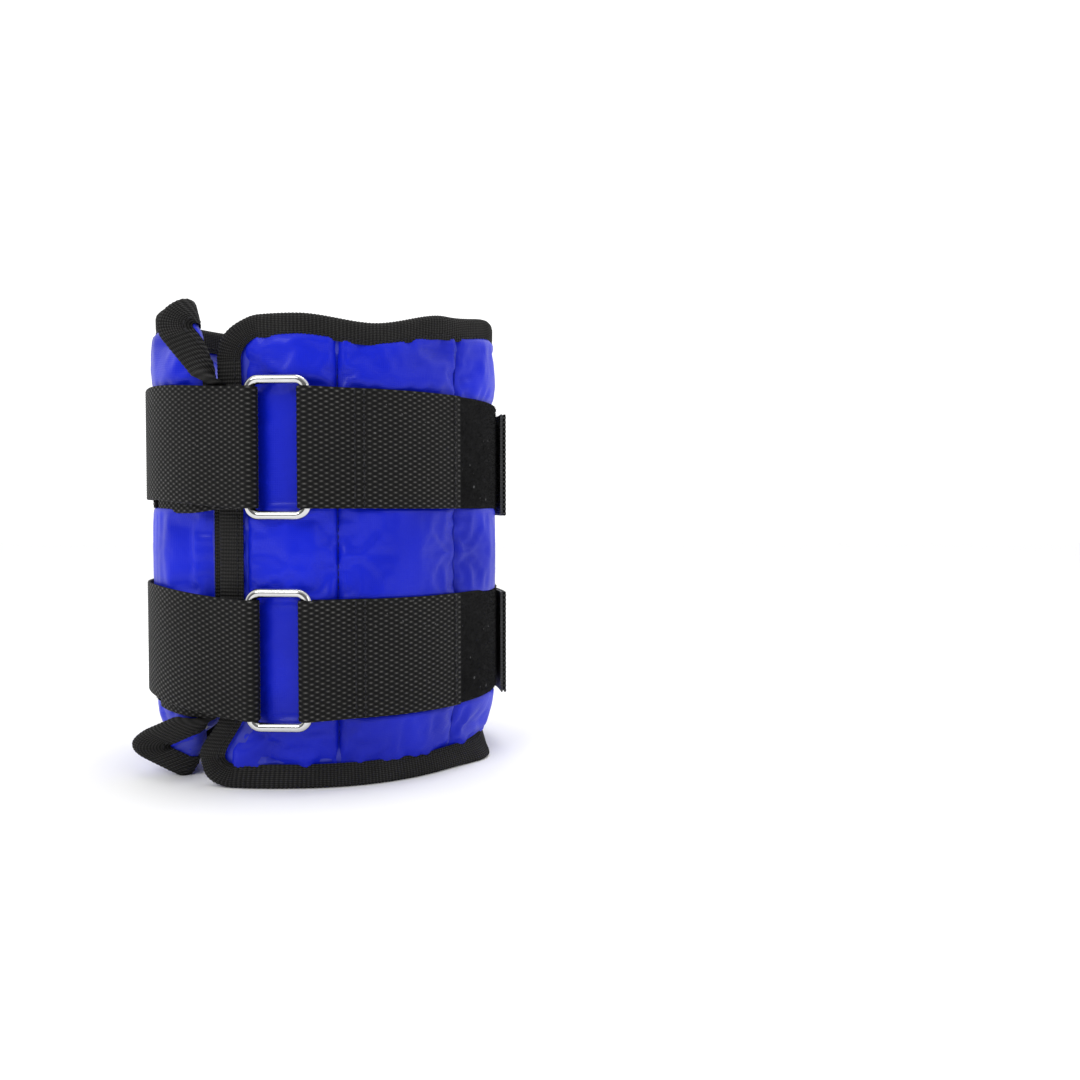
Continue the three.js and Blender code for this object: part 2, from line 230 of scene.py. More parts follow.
def clothMap(graph):
    return graph.add("ShaderNodeUVMap", {"uv_map": "cloth"})


def clothPlace(graph, uv):  # a place on the cloth map in millimetres: along, then up or across
    return [graph.add("ShaderNodeSeparateXYZ", {}, {0: uv}, output) * (1 / mm) for output in (0, 1)]


def waves(place, pitch):  # 1 on each line a pitch apart, and 0 between
    return (place * (2 * math.pi / pitch)).cosine() * 0.5 + 0.5


def noise(graph, place, scale, detail=3.0, twist=0.0):
    sockets = {"Vector": place, "Scale": scale, "Detail": detail, "Distortion": twist}
    return graph.add("ShaderNodeTexNoise", {}, sockets)


def bump(graph, height, reach, strength=1.0, under=None):  # reach in millimetres
    sockets = {"Height": height, "Distance": reach * mm, "Strength": strength}
    if under is not None:
        sockets["Normal"] = under
    return graph.add("ShaderNodeBump", {}, sockets)


# shadedBlue and litBlue are the cover's one blue with painted shade and painted highlight.
nylonLook = {"shadedBlue": (0.001, 0.005, 0.30, 1), "litBlue": (0.001, 0.014, 0.68, 1), "threadPitch": 0.75}


def nylon(graph):
    uv = clothMap(graph)
    along, up = clothPlace(graph, uv)
    crinkle = noise(graph, uv, 55, 5, 1.2)
    patches = noise(graph, uv, 14, 2, 0.6)
    turn = 2 * math.pi / nylonLook["threadPitch"]
    threads = (along * turn).cosine() + (up * turn).cosine()
    # Broad noise patches blend them: painted shade and painted highlight standing in for soft folds and
    # glossy patches.
    share = (patches * 2.2 - 0.45).kept()
    shaded = graph.blended(share, nylonLook["shadedBlue"], nylonLook["litBlue"])
    weave = bump(graph, threads, 0.03, 0.5)
    return {
        "Base Color": shaded,
        "Roughness": crinkle * 0.25 + 0.34,
        "Normal": bump(graph, crinkle, 1.1, 0.55, weave),
    }


def liningNylon(graph):
    crinkle = noise(graph, clothMap(graph), 40, 5, 1.0)
    return {
        # The lining's colour follows its crinkle relief: painted shade in the hollows and painted highlight
        # on the rises.
        "Base Color": graph.blended(crinkle, (0.003, 0.009, 0.30, 1), (0.008, 0.022, 0.52, 1)),
        "Roughness": crinkle * 0.2 + 0.36,
        "Normal": bump(graph, crinkle, 1.4, 0.6),
    }


# crownHighlight and valleyShade are painted highlight and painted shade for the woven relief.
webLook = {"pitch": 2.24, "crownHighlight": (0.13, 0.127, 0.122, 1), "valleyShade": (0.003, 0.003, 0.003, 1),
           "twist": 0.55, "slant": 0.8}


def webbingWeave(graph):
    uv = clothMap(graph)
    along, across = clothPlace(graph, uv)
    turn = 2 * math.pi / webLook["pitch"]
    crowns = (along * (turn / 2)).cosine() * (across * turn).cosine() * 0.5 + 0.5
    yarn = waves(along * webLook["slant"] + across, webLook["twist"])
    wearAndSheen = noise(graph, uv, 30, 3)
    # Thread crowns are painted lighter and the valleys between them darker: painted highlight and painted
    # shade over the woven relief, varied by a noise that stands for both wear and sheen. The lint specks
    # are real.
    lit = (crowns ** 5 * (yarn * 0.45 + 0.55) * (wearAndSheen * 0.9 + 0.5)).kept()
    lint = noise(graph, uv, 420, 1).above(0.74) * noise(graph, uv, 60, 1).above(0.55)
    threads = graph.blended(lit, webLook["valleyShade"], webLook["crownHighlight"])
    return {
        "Base Color": graph.blended(lint * 0.15, threads, (0.35, 0.35, 0.36, 1)),
        "Roughness": 0.78 - crowns * 0.28,
        "Normal": bump(graph, crowns + yarn * 0.35, 0.35, 0.8),
    }


def ribbedTape(graph):
    uv = clothMap(graph)
    along, across = clothPlace(graph, uv)
    ribs = waves(along, tape["ribPitch"])
    threads = waves(across, tape["threadPitch"])
    wearAndSheen = noise(graph, uv, 45, 3)
    # Rib crowns and thread lines are painted lighter and the grooves darker: painted highlight and painted
    # shade over the ribbed relief, varied by the wear and sheen noise.
    lit = ((ribs * 0.6 + 0.4) * threads * (wearAndSheen * 1.6 + 0.2)).kept()
    return {
        "Base Color": graph.blended(lit, (0.004, 0.004, 0.004, 1), (0.045, 0.044, 0.043, 1)),
        "Roughness": 0.85 - ribs * 0.2,
        "Normal": bump(graph, ribs + threads * 0.6, 0.3, 0.8),
    }


def brushedPile(graph):
    uv = clothMap(graph)
    nap = noise(graph, uv, 240, 5, 0.8)
    patches = noise(graph, uv, 22, 3)
    lint = noise(graph, uv, 330, 1).above(0.73) * noise(graph, uv, 45, 1).above(0.5)
    # The pile is painted lighter where the nap rises and darker in its hollows, spread in broad patches:
    # painted highlight and painted shade over the nap relief. The lint specks are real.
    lit = (nap * patches * 1.6).kept()
    dark = graph.blended(lit, (0.003, 0.003, 0.003, 1), (0.026, 0.026, 0.027, 1))
    return {
        "Base Color": graph.blended(lint * 0.2, dark, (0.4, 0.4, 0.41, 1)),
        "Roughness": 0.9 + nap * 0.1,
        "Normal": bump(graph, nap, 0.6, 0.9),
    }


def mouldedHooks(graph):
    across = clothPlace(graph, clothMap(graph))[1]
    rows = waves(across, hookRowPitch)
    return {
        # The hook rows are painted lighter on their crests and darker between: painted highlight and
        # painted shade over the rows' relief.
        "Base Color": graph.blended(rows, (0.018, 0.018, 0.019, 1), (0.05, 0.05, 0.052, 1)),
        "Roughness": 0.5 + rows * 0.2,
        "Normal": bump(graph, rows, 0.3, 0.6),
    }


def plating(graph):
    place = graph.add("ShaderNodeTexCoord", {}, {}, "Object")
    marks = noise(graph, place, 900, 4, 0.4)
    # The metal's colour is darkened in broad noise patches: painted dark reflections that make the bright
    # wire read grey in places.
    darkReflectionPatches = noise(graph, place, 160, 3)
    shine = graph.blended(darkReflectionPatches, (0.46, 0.46, 0.45, 1), (0.66, 0.66, 0.66, 1))
    return {"Base Color": shine, "Roughness": marks * 0.16 + 0.06, "Normal": bump(graph, marks, 0.02, 0.3)}


def thread(graph):
    place = graph.add("ShaderNodeTexCoord", {}, {}, "Object")
    strands = noise(graph, place, 1500, 2)
    return {
        "Base Color": graph.blended(strands, (0.004, 0.004, 0.006, 1), (0.022, 0.022, 0.026, 1)),
        "Roughness": 0.6 + strands * 0.3,
    }


def weldedFilm(graph):
    grains = noise(graph, clothMap(graph), 300, 3)
    return {
        "Base Color": graph.blended(grains, (0.16, 0.165, 0.17, 1), (0.34, 0.35, 0.36, 1)),
        "Roughness": grains * 0.3 + 0.3,
        "Normal": bump(graph, grains, 0.6, 0.7),
    }


tape = {"width": 10, "thickness": 0.9, "gap": 0.5, "hug": 0.15, "hugFrom": 6, "ribPitch": 1.5,
        "threadPitch": 0.8, "ribHeight": 0.11, "rightCorners": (13, 18), "leftCorners": (12, 12),
        "stitchDepth": 8.2, "stitchStep": 3.0}
hookRowPitch = 1.2
coverGloss = {"Specular IOR Level": 0.2, "Coat Weight": 0.1, "Coat Roughness": 0.17}
coverFinish = newMaterial("blue nylon cover", coverGloss, nylon)
liningFinish = newMaterial("blue nylon lining", {"Coat Weight": 0.05}, liningNylon)
webFinish = newMaterial("black webbing", {"Specular IOR Level": 0.16}, webbingWeave)
tapeFinish = newMaterial("black ribbed tape", {"Specular IOR Level": 0.12}, ribbedTape)
pileFinish = newMaterial("black loop pile", {"Specular IOR Level": 0.03}, brushedPile)
hookFinish = newMaterial("moulded hook tape", {}, mouldedHooks)
ringFinish = newMaterial("plated wire", {"Metallic": 1.0}, plating)
threadFinish = newMaterial("black thread", {"Specular IOR Level": 0.3}, thread)
filmFinish = newMaterial("welded film", {"Coat Weight": 0.3}, weldedFilm)
print("finishes made")


band = {"seamRadius": 77, "bulge": 2, "lobe": 20, "cloth": 0.9, "layerGap": 0.3, "inset": 1.4,
        "rightEdge": -23, "leftEdge": 334.5, "innerSeams": (14, 57, 100, 143, 186, 229, 272),
        "flange": 11, "swellHeight": 15, "swellShape": 0.6, "sewnMargin": 1, "sewnWidth": 0.5}

# How the soft band has settled: heights of its top edge, its taper, the left end tucked under the
# right one between the straps, and the left end's two corners turned outwards.
settled = {
    "topLift": ((-23, 1), (2, 2), (24, -1), (52, 6), (85, 11), (130, 9), (180, 12), (230, 14), (268, 13),
                (300, 10), (334.5, 6.2)),
    "liftFrom": cuffHeight - 44, "topLean": 1.2, "bottomTaper": -5.5, "taperFrom": 34, "bottomFlare": 3,
    "tuckFrom": 306, "tuckAngle": 8, "tuckDepth": 5, "tuckDeepFrom": (322, 331), "tuckMargin": 6,
    "tuckLow": (32, 42), "tuckHigh": (cuffHeight - 44, cuffHeight - 34),
    "rightShift": -2, "rightShiftWidth": 1, "rightSpread": -8, "rightSpreadFrom": 12,
    "rightSpreadLow": (12, 34), "rightStandOff": 6,
    "leftShiftTop": 4.5, "leftShiftBottom": -2.5, "curlAngle": 74, "curlWidth": 11, "curlReach": 6,
}
# A corner folds along a line from inFrom in at the height low, to back in at the edge. It opens
# over the heights in opens.
topEar = {"low": 161, "inFrom": 9.3, "back": 24.8, "bendRadius": 5, "bend": 150, "stretch": 1.5,
          "lean": (0.35, 0.25), "opens": (167, 176)}
bottomEar = {"low": 31.3, "inFrom": 6, "back": 27, "bendRadius": 2.5, "bend": 120, "stretch": 1.4,
             "lean": (-0.49, -0.12), "opens": (31, 23)}

degreesPerMm = math.degrees(1 / band["seamRadius"])
seams = [band["rightEdge"] + band["flange"] * degreesPerMm, *band["innerSeams"],
         band["leftEdge"] - band["flange"] * degreesPerMm]
backSeam = seams[len(seams) // 2]
strapHeights = {side: sum(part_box(side + "_tail_1")[i].z for i in (0, 1)) / (2 * mm) for side in sides}
webWidth = (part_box("upper_tail_1")[1].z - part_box("upper_tail_1")[0].z) / mm


def distanceFromEnd(angle):
    return np.minimum(angle - band["rightEdge"], band["leftEdge"] - angle) / degreesPerMm


def cornerRadius(atRight, atTop):
    ends = (tape["rightCorners"], tape["leftCorners"])
    right, left = (np.where(atTop, radii[1], radii[0]) for radii in ends)
    return np.where(atRight, right, left)


def distanceFromEdge(angle, z):
    along = distanceFromEnd(angle)
    up = np.minimum(z, cuffHeight - z)
    corner = cornerRadius(angle < backSeam, z > cuffHeight / 2)
    rounded = corner - np.hypot(corner - along, corner - up)
    return np.where((along < corner) & (up < corner), rounded, np.minimum(along, up))


def channelShare(angle):
    after = np.clip(np.searchsorted(seams, angle), 1, len(seams) - 1)
    start, end = np.array(seams)[after - 1], np.array(seams)[after]
    return np.clip((angle - start) / (end - start), 0, 1)


def swell(angle, z):
    flat = (distanceFromEdge(angle, z) - band["flange"]) / band["swellHeight"]
    return np.sin(np.pi * channelShare(angle)) ** band["swellShape"] * smooth(flat)


# Bends outwards what lies beyond the line from (-inFrom, low) to (-back, edgeHeight).
def turnedOut(along, z, offset, ear, edgeHeight, sign):
    start = np.array([-ear["inFrom"], ear["low"]])
    way = np.array([ear["inFrom"] - ear["back"], edgeHeight - ear["low"]])
    way = way / np.hypot(*way)
    normal = sign * np.array([way[1], -way[0]])
    beyond = (along - start[0]) * normal[0] + (z - start[1]) * normal[1]
    opened = past(z, ear["opens"])
    bent = (1 + (ear["stretch"] - 1) * opened) * np.maximum(beyond, 0)
    full = math.radians(ear["bend"]) * opened
    radius = ear["bendRadius"]
    turn = np.minimum(bent / radius, full)
    rest = bent - radius * turn
    inPlane = radius * np.sin(turn) + rest * np.cos(full) - offset * np.sin(turn)
    out = radius * (1 - np.cos(turn)) + rest * np.sin(full) + offset * np.cos(turn)
    step = np.where(beyond > 0, inPlane - beyond, 0)
    newAlong = along + step * normal[0] + ear["lean"][0] * bent * opened
    newZ = z + step * normal[1] + ear["lean"][1] * bent * opened
    return newAlong, newZ, np.where(beyond > 0, out, offset)


def heldShare(z, margin):  # how far the straps hold the tucked end, at the height z
    low, high = settled["tuckLow"], settled["tuckHigh"]
    fromLow = smooth((z - low[0] + margin) / (low[1] - low[0]))
    fromHigh = smooth((high[1] + margin - z) / (high[1] - high[0]))
    return fromLow * fromHigh


def onBand(angle, z, radius):  # where a place on the flat band lies, once the band has settled
    angle, z, radius = np.broadcast_arrays(*(np.asarray(v, float) for v in (angle, z, radius)))
    lift = easedThrough(angle, settled["topLift"])
    aloft = smooth((z - settled["liftFrom"]) / (cuffHeight - settled["liftFrom"]))
    raised = z + lift * aloft
    lean = settled["topLean"] * aloft + settled["bottomTaper"] * smooth(1 - z / settled["taperFrom"])
    lean = lean + settled["bottomFlare"] * smooth(1 - z / band["flange"])
    held, heldDeep = (heldShare(z, margin) for margin in (0, settled["tuckMargin"]))
    end = np.clip((angle - settled["tuckFrom"]) / (band["leftEdge"] - settled["tuckFrom"]), 0, 1)
    leftShift = np.where(z > cuffHeight / 2, settled["leftShiftTop"], settled["leftShiftBottom"])
    shift = end ** 2 * (settled["tuckAngle"] * held + leftShift * (1 - held))
    depth = -settled["tuckDepth"] * past(angle, settled["tuckDeepFrom"]) * heldDeep
    rightEnd = smooth((seams[0] + settled["rightShiftWidth"] - angle) / (seams[0] - band["rightEdge"]))
    spread = past(angle, (settled["rightSpreadFrom"], band["rightEdge"]))
    spread = spread * past(z, settled["rightSpreadLow"][::-1])
    moved = angle + shift + settled["rightShift"] * rightEnd + settled["rightSpread"] * spread
    curl = np.exp(-((angle - settled["curlAngle"]) / settled["curlWidth"]) ** 2)
    curl = curl * smooth(1 - z / band["flange"])
    depth = depth + settled["rightStandOff"] * spread ** 2 + settled["curlReach"] * curl
    middle = band["seamRadius"] - band["cloth"] - band["layerGap"] / 2
    along = (moved - band["leftEdge"] - leftShift) / degreesPerMm
    offset = radius - middle
    topAtEnd = cuffHeight + settled["topLift"][-1][1]
    leftHalf = angle > seams[-2]
    flatPlace = (along, raised, offset)
    bentPlace = turnedOut(*turnedOut(*flatPlace, topEar, topAtEnd, 1), bottomEar, 0, -1)
    along, raised, offset = (np.where(leftHalf, *pair) for pair in zip(bentPlace, flatPlace))
    turned = along * degreesPerMm + band["leftEdge"] + leftShift
    plan = toPlan(turned, middle + offset + lean + depth)
    return np.concatenate([plan, raised[..., None]], -1)


coverSizes = {"columnPitch": 3.1, "rowPitch": 3.1, "press": 78.5, "pressure": 4.0, "slack": -0.045,
              "frames": 22, "cap": 4.5, "groove": 1.3, "pucker": 0.75, "puckerReach": 7}
liningSizes = {"columnPitch": 3.6, "rowPitch": 3.6, "pressure": 2.0, "slack": -0.035,
               "frames": 20, "cap": 5, "groove": 0.8, "pucker": 0.8, "puckerReach": 9}
pucker = {"seamWaves": (7.5, 11, 17), "seamShift": 31, "seamWidth": 1.6, "edgeWaves": (14, 22, 35),
          "edgeReach": 9, "edgeWidth": 3, "grooveWidth": 1.1}


def cornerDrop(along, radius):
    inside = np.clip(radius - along, 0, radius)
    return radius - np.sqrt(radius ** 2 - inside ** 2)


def clothGrid(sizes):  # angles and heights of a cloth's grid, with a column on every seam
    inset = band["inset"]
    stops = [band["rightEdge"] + inset * degreesPerMm, *seams, band["leftEdge"] - inset * degreesPerMm]
    columns = [stops[0]]
    for start, end in zip(stops, stops[1:]):
        count = max(2, round((end - start) / degreesPerMm / sizes["columnPitch"]))
        columns += list(np.linspace(start, end, count + 1)[1:])
    columns = np.array(columns)
    along = distanceFromEnd(columns) - inset
    atRight = columns < backSeam
    low = inset + cornerDrop(along, cornerRadius(atRight, False) - inset)
    high = cuffHeight - inset - cornerDrop(along, cornerRadius(atRight, True) - inset)
    rows = np.linspace(0, 1, round(cuffHeight / sizes["rowPitch"]) + 1)[:, None]
    return np.broadcast_to(columns, (len(rows), len(columns))), low + rows * (high - low)


def underStrap(z):
    near = np.min([np.abs(z - height) for height in strapHeights.values()], axis=0)
    return near < webWidth / 2 - band["sewnMargin"]


def simulate(grid, pinned, sizes, flip):
    index = np.arange(grid[..., 0].size).reshape(grid.shape[:2])
    faces = gridFaces(index)[:, ::-1] if flip else gridFaces(index)
    cloth = newPiece("cloth in the press", grid.reshape(-1, 3), faces, coverFinish)
    group = cloth.vertex_groups.new(name="sewn")
    group.add(index[pinned].tolist(), 1.0, "REPLACE")
    settings = cloth.modifiers.new("cloth", "CLOTH").settings
    settings.quality = 6
    settings.mass = 0.25
    settings.tension_stiffness = settings.compression_stiffness = 18
    settings.shear_stiffness = 6
    settings.bending_stiffness = 0.12
    settings.vertex_group_mass = "sewn"
    settings.shrink_min = sizes["slack"]
    settings.use_pressure = True
    settings.uniform_pressure_force = sizes["pressure"]
    settings.effector_weights.gravity = 0
    scene = bpy.context.scene
    for step in range(1, sizes["frames"] + 1):
        scene.frame_set(step)
    shown = cloth.evaluated_get(bpy.context.evaluated_depsgraph_get())
    places = np.zeros(index.size * 3, np.float32)
    shown.data.vertices.foreach_get("co", places)
    moved = places.reshape(grid.shape).astype(float) / mm - grid
    bpy.data.objects.remove(cloth)
    scene.frame_set(1)
    reach = np.linalg.norm(moved, axis=-1, keepdims=True)
    moved = moved * np.minimum(1, sizes["cap"] / np.maximum(reach, 1e-6))
    print("cloth moved up to", round(float(reach.max()), 1), "mm")
    return np.where(pinned[..., None], 0, moved)


def seamDistance(angle):
    return np.min([np.abs(angle - seam) for seam in seams], axis=0) / degreesPerMm


def clothPuckers(angle, z, sizes, seed):  # how far the sewing pulls a cloth in or lets it out
    away = seamDistance(angle)
    nearest = np.argmin([np.abs(angle - seam) for seam in seams], axis=0)
    seamPull = ripple(z + pucker["seamShift"] * nearest, pucker["seamWaves"], seed)
    seamPull = seamPull * np.exp(-away / sizes["puckerReach"]) * smooth(away / pucker["seamWidth"])
    fromEdge = distanceFromEdge(angle, z) - tape["width"]
    edgePull = ripple(angle / degreesPerMm, pucker["edgeWaves"], seed + 1)
    edgePull = edgePull * np.exp(-np.maximum(fromEdge, 0) / pucker["edgeReach"])
    edgePull = edgePull * smooth(fromEdge / pucker["edgeWidth"])
    groove = sizes["groove"] * np.exp(-(away / pucker["grooveWidth"]) ** 2)
    return sizes["pucker"] * (seamPull + edgePull) - groove


def makeCloth(name, sizes, surface, inwards, looks, seed):
    angle, z = clothGrid(sizes)
    radius = surface(angle, z)
    pinned = distanceFromEdge(angle, z) < band["flange"] - band["sewnMargin"]
    pinned = pinned | (seamDistance(angle) < band["sewnWidth"])
    if not inwards:
        pinned = pinned | underStrap(z)
    moved = simulate(onBand(angle, z, radius), pinned, sizes, inwards)
    angle, z, moved = (doubled(grid) for grid in (angle, z, moved))
    sign = -1 if inwards else 1
    radius = surface(angle, z) + sign * clothPuckers(angle, z, sizes, seed)
    if not inwards:
        radius = np.where(underStrap(z), np.minimum(radius, sizes["press"]), radius)
    outer = onBand(angle, z, radius) + moved
    normals = unitRows(gridNormals(outer))
    outwards = np.sign((normals * (outer - [axis.x, axis.y, 0])).sum())
    inner = outer - sign * outwards * band["cloth"] * normals
    uv = np.stack([angle / degreesPerMm, z], -1) * mm
    piece = closedSheet(name, outer, inner, looks, uv)
    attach(piece, "cuff_band")
    return piece


def coverSurface(angle, z):
    return band["seamRadius"] + band["bulge"] * swell(angle, z)


def liningSurface(angle, z):
    return band["seamRadius"] - 2 * band["cloth"] - band["layerGap"] - band["lobe"] * swell(angle, z)


bagNodes = [f"weight_bag_{i + 1}" for i in range(len(seams) - 1)]

coverSeed, liningSeed = 11, 23

cover = makeCloth("cover", coverSizes, coverSurface, False, coverFinish, coverSeed)
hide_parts("cover_outer")
print("cover made")

lining = makeCloth("lining", liningSizes, liningSurface, True, liningFinish, liningSeed)
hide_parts("lining_inner")
print("lining made")


bag = {"gap": 1.3, "weld": 3.5, "pitch": 2.2, "lump": 0.7, "outerLumps": 0.4, "share": (0.08, 0.92),
       "clear": 4, "weldThickness": 0.04, "thinnest": 0.3, "aroundWaves": (5, 8.5, 13),
       "upWaves": (6, 10, 15), "slant": 0.7, "firstSeed": 40}


def makeBag(name, start, end, seed):
    width = end - start
    first, last = start + bag["share"][0] * width, start + bag["share"][1] * width
    count = round((last - first) / degreesPerMm / bag["pitch"])
    edge = band["flange"] + bag["clear"]
    rows = np.linspace(edge, cuffHeight - edge, round((cuffHeight - 2 * edge) / bag["pitch"]))
    angle, z = np.meshgrid(np.linspace(first, last, count), rows)
    around = angle / degreesPerMm + bag["slant"] * z
    grains = ripple(around, bag["aroundWaves"], seed) * ripple(z, bag["upWaves"], seed + 50)
    outside = coverSurface(angle, z) - band["cloth"] - bag["gap"] + bag["outerLumps"] * bag["lump"] * grains
    inside = liningSurface(angle, z) + band["cloth"] + bag["gap"] + bag["lump"] * grains
    middle = (outside + inside) / 2
    fromSide = np.minimum(angle - first, last - angle) / degreesPerMm
    fromEdge = np.minimum(distanceFromEdge(angle, z) - edge, fromSide)
    fat = smooth(fromEdge / bag["weld"] / 2) * (1 - bag["weldThickness"]) + bag["weldThickness"]
    half = np.maximum((outside - inside) / 2, bag["thinnest"]) * fat
    outer, inner = onBand(angle, z, middle + half), onBand(angle, z, middle - half)
    piece = closedSheet(name, outer, inner, filmFinish, np.stack([angle / degreesPerMm, z], -1) * mm)
    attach(piece, "cuff_band")
    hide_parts(name)
    return piece


for number, (start, end) in enumerate(zip(seams, seams[1:])):
    node = bagNodes[number]
    pouch = makeBag(node, start, end, bag["firstSeed"] + number)
    pouch.name = "shot_" + node
print("weight bags made")


tapeOuter = band["seamRadius"] + tape["gap"]
tapeInner = band["seamRadius"] - 2 * band["cloth"] - band["layerGap"] - tape["gap"]


# Radius and depth along one skin of the folded tape, from its outer hem round to its inner hem.
# skin is how far it is outside the tape's inner skin.
def tapeSection(skin, count=5, turnCount=7):
    half = (tapeOuter - tapeInner) / 2
    middle = (tapeOuter + tapeInner) / 2
    turnDepth = half + tape["thickness"]
    depths = np.linspace(tape["width"], turnDepth, count)[:-1]
    hug = tape["hug"] - tape["gap"]
    lift = half + skin + hug * past(depths, (tape["hugFrom"], tape["width"]))
    turn = np.radians(np.linspace(90, -90, turnCount))
    folded = np.stack([np.sin(turn) * (half + skin), turnDepth - np.cos(turn) * (half + skin)])
    outerFace = np.stack([lift, depths])
    innerFace = np.stack([-lift, depths])[:, ::-1]
    section = np.concatenate([outerFace, folded, innerFace], 1)
    return middle + section[0], section[1]


def cornerStations(radius, atRight, atTop, pitch, depth):  # a round corner, stations by depths
    count = round(math.pi / 2 * radius / pitch)
    turn = np.radians(np.linspace(0, 90, count + 1))[:, None]
    reach = radius - depth
    span = (radius - reach * np.cos(turn)) * degreesPerMm
    drop = radius - reach * np.sin(turn)
    angle = band["rightEdge"] + span if atRight else band["leftEdge"] - span
    return angle, cuffHeight - drop if atTop else drop


def levelTape(depth, atTop, pitch):
    right, left = (float(cornerRadius(atRight, atTop)) for atRight in (True, False))
    first, last = band["rightEdge"] + right * degreesPerMm, band["leftEdge"] - left * degreesPerMm
    count = round((last - first) / degreesPerMm / pitch)
    middle = np.linspace(first, last, count + 1)[1:-1, None] + 0 * depth
    level = (cuffHeight - depth if atTop else depth) + 0 * middle
    rightAngle, rightZ = cornerStations(right, True, atTop, pitch, depth)
    leftAngle, leftZ = cornerStations(left, False, atTop, pitch, depth)
    angles = np.concatenate([rightAngle, middle, leftAngle[::-1]])
    return angles, np.concatenate([rightZ, level, leftZ[::-1]])


def uprightTape(depth, atRight, pitch):
    low, high = float(cornerRadius(atRight, False)), cuffHeight - float(cornerRadius(atRight, True))
    z = np.linspace(low, high, round((high - low) / pitch) + 1)[:, None] + 0 * depth
    span = depth * degreesPerMm
    return (band["rightEdge"] + span if atRight else band["leftEdge"] - span) + 0 * z, z


tapePaths = {
    "binding_top": lambda depth, pitch: levelTape(depth, True, pitch),
    "binding_bottom": lambda depth, pitch: levelTape(depth, False, pitch),
    "binding_right_edge": lambda depth, pitch: uprightTape(depth, True, pitch),
    "binding_left_edge": lambda depth, pitch: uprightTape(depth, False, pitch),
}


def makeTape(name, path):
    pitch = tape["ribPitch"] / 4
    skins = []
    for skin in (tape["thickness"], 0.0):
        radius, depth = tapeSection(skin)
        angle, z = path(depth[None, :], pitch)
        skins.append(onBand(angle, z, radius[None, :] + 0 * angle))
    outer, inner = skins
    run = np.arange(len(outer)) * pitch
    rib = tape["ribHeight"] * (np.cos(2 * np.pi * run / tape["ribPitch"]) - 1)[:, None, None]
    outer = outer + unitRows(outer - inner) * rib
    across = np.cumsum(np.linalg.norm(np.diff(outer[len(outer) // 2], axis=0), axis=-1))
    uv = np.stack(np.meshgrid(run, np.concatenate([[0], across]), indexing="ij"), -1) * mm
    piece = closedSheet("ribbed_" + name, outer, inner, tapeFinish, uv)
    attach(piece, "cuff_band")
    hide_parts(name)


for node, path in tapePaths.items():
    makeTape(node, path)
print("binding made")


def openTree(name, sizes):  # a new tree with an input for each size and one for the finish
    tree = bpy.data.node_groups.new(name, "GeometryNodeTree")
    face = tree.interface
    face.new_socket("Geometry", in_out="INPUT", socket_type="NodeSocketGeometry")
    kinds = {size: "NodeSocketFloat" for size in sizes} | {"Finish": "NodeSocketMaterial"}
    sockets = {}
    for label, kind in kinds.items():
        sockets[label] = face.new_socket(label, in_out="INPUT", socket_type=kind).identifier
    face.new_socket("Geometry", in_out="OUTPUT", socket_type="NodeSocketGeometry")
    graph = Graph(tree)
    start = tree.nodes.new("NodeGroupInput")
    return graph, sockets, [Wire(graph, start.outputs[i]) for i in range(len(kinds) + 1)]


def closeTree(graph, geometry, finish):
    done = graph.add("GeometryNodeSetMaterial", {}, {0: geometry, "Material": finish})
    end = graph.tree.nodes.new("NodeGroupOutput")
    graph.tree.links.new(done.socket, end.inputs[0])


def stitchTree():
    graph, sockets, wires = openTree("stitches along lines", ("Pitch", "Length", "Radius"))
    geometry, pitch, length, radius, finish = wires
    lines = graph.add("GeometryNodeMeshToCurve", {}, {0: geometry})
    resample = {"Curve": lines, "Length": pitch}
    spots = graph.add("GeometryNodeResampleCurve", {"mode": "LENGTH"}, resample)
    along = graph.add("GeometryNodeInputTangent")
    turn = graph.add("FunctionNodeAlignRotationToVector", {"axis": "Z"}, {"Vector": along})
    bead = graph.add("GeometryNodeMeshUVSphere", {}, {"Segments": 6, "Rings": 4, "Radius": 1.0})
    size = graph.add("ShaderNodeCombineXYZ", {}, {0: radius, 1: radius, 2: length * 0.5})
    dotted = graph.add("GeometryNodeInstanceOnPoints", {},
                       {"Points": spots, "Instance": bead, "Rotation": turn, "Scale": size})
    real = graph.add("GeometryNodeRealizeInstances", {}, {0: dotted})
    closeTree(graph, graph.add("GeometryNodeSetShadeSmooth", {}, {0: real}), finish)
    return graph.tree, sockets


stitching = stitchTree()


def grown(holder, name, treeAndSockets, values):  # what a tree makes of a holder, as a plain mesh
    tree, sockets = treeAndSockets
    nodes = holder.modifiers.new("made", "NODES")
    nodes.node_group = tree
    for label, value in values.items():
        nodes[sockets[label]] = value
    bpy.context.view_layer.update()
    shown = holder.evaluated_get(bpy.context.evaluated_depsgraph_get())
    mesh = bpy.data.meshes.new_from_object(shown)
    done = bpy.data.objects.new(name, mesh)
    bpy.context.scene.collection.objects.link(done)
    bpy.data.objects.remove(holder)
    return done


def sewLines(name, lines, sizes):
    points = np.concatenate(lines)
    counts = np.cumsum([0] + [len(line) for line in lines])
    edges = [(i, i + 1) for start, end in zip(counts, counts[1:]) for i in range(start, end - 1)]
    mesh = bpy.data.meshes.new(name)
    mesh.from_pydata((points * mm).tolist(), edges, [])
    holder = bpy.data.objects.new(name + "_lines", mesh)
    bpy.context.scene.collection.objects.link(holder)
    values = {"Pitch": sizes["pitch"] * mm, "Length": sizes["length"] * mm,
              "Radius": sizes["radius"] * mm, "Finish": threadFinish}
    return grown(holder, name, stitching, values)


